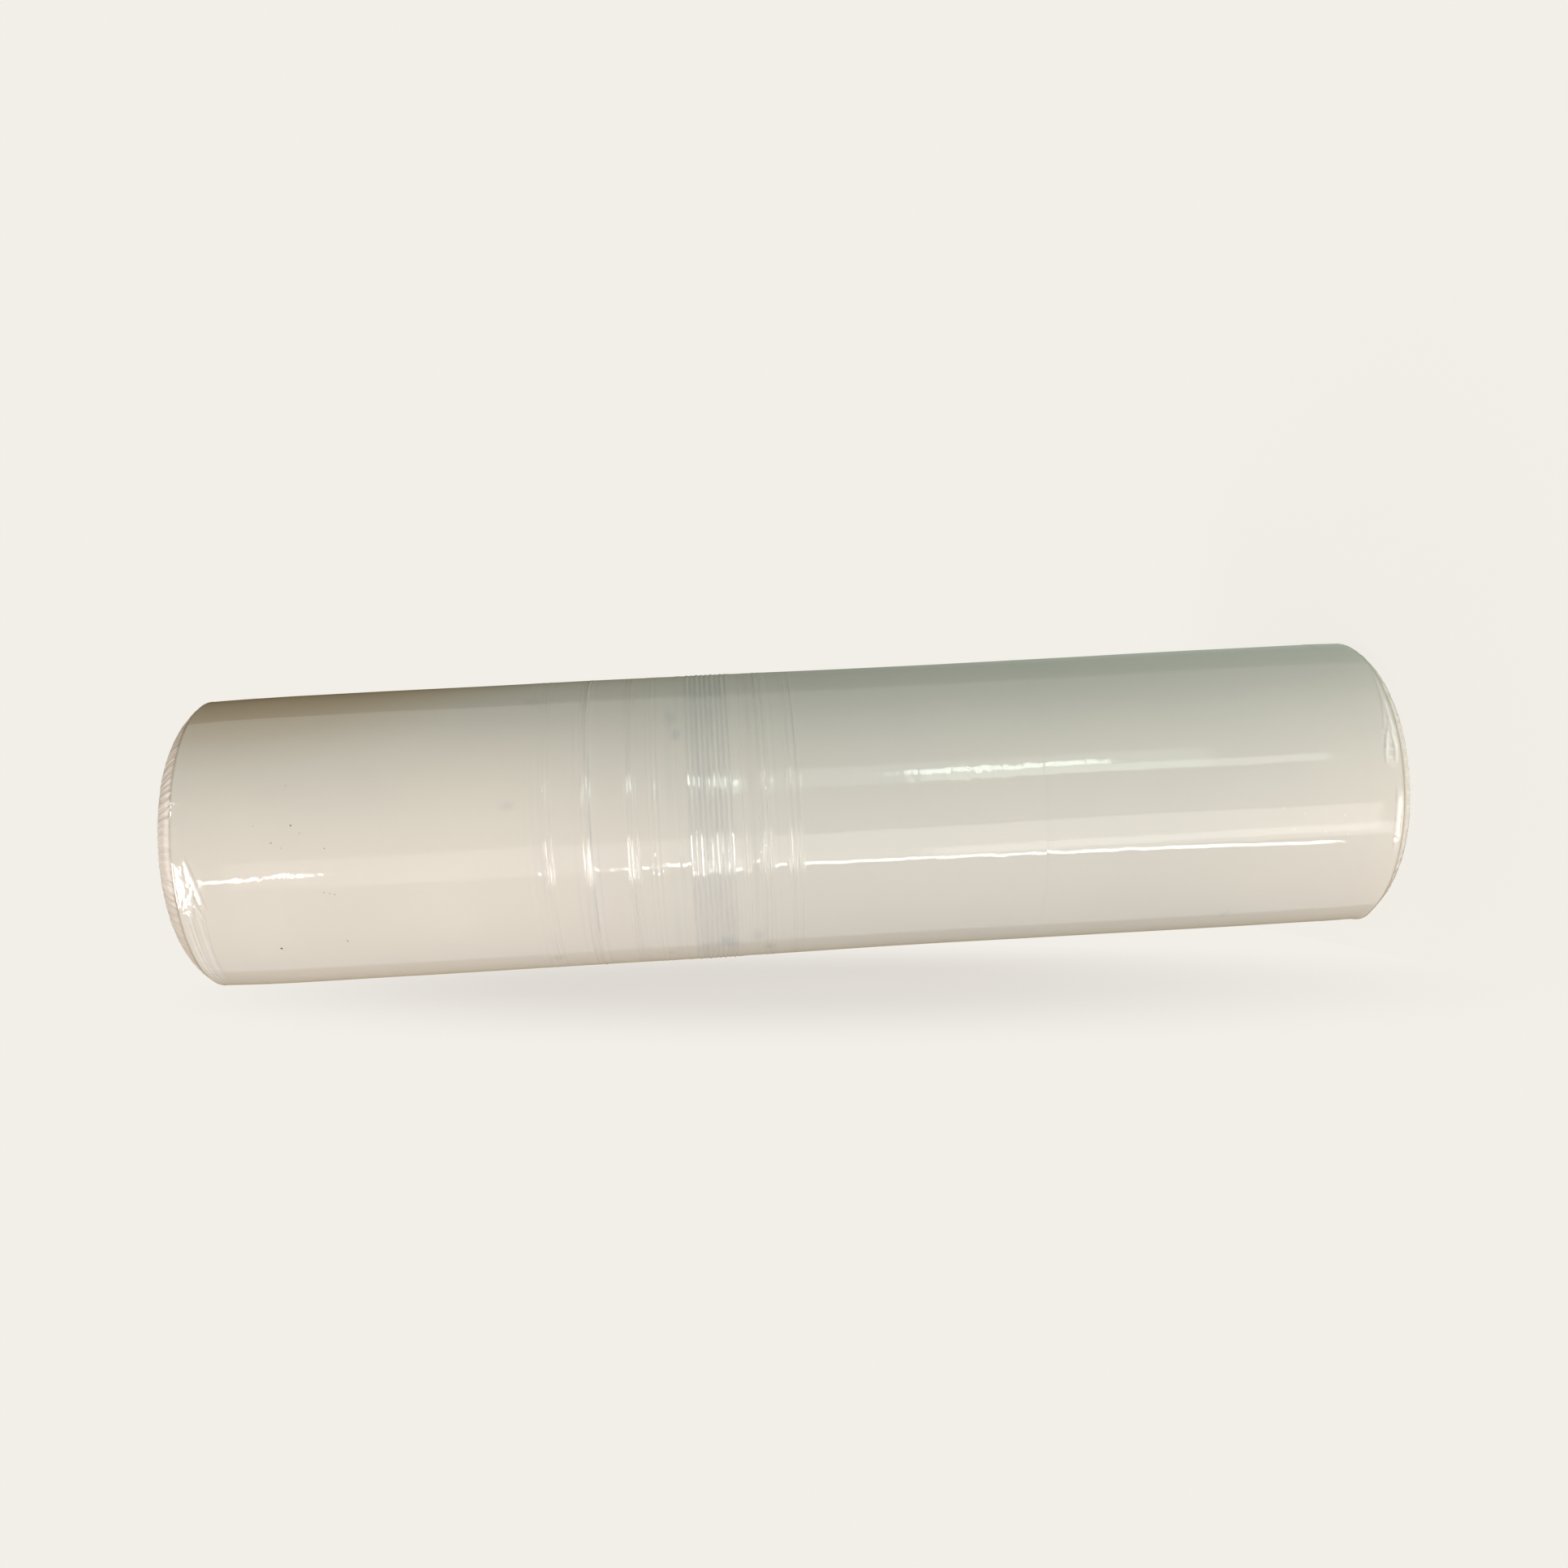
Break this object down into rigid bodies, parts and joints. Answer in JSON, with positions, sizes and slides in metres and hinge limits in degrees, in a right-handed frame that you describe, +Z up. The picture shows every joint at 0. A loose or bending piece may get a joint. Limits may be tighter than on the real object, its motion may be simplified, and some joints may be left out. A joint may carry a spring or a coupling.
{
  "type": "roll of plastic wrap",
  "caption": "Wide roll of clear stretch wrap wound on a card core, with gathered film edges at both ends, standing on one end.",
  "frame": {"origin": "centre of the end face that the roll stands on", "axes": "+Z up the roll's axis from the end it stands on to the pleated end; -Y towards the side that the picture shows, with the picture's upper edge of the roll at +X"},
  "size_m": [0.1222, 0.1222, 0.5],
  "materials": {
    "film": "glossy milky wound stretch film, clear and pleated at its gathered edges, with fine blue-grey rings in the gauge band",
    "core_card": "plain brown spiral-wound card, matt"
  },
  "bodies": {
    "root": {"film_roll": "film", "core_tube": "core_card"}
  },
  "joints": []
}
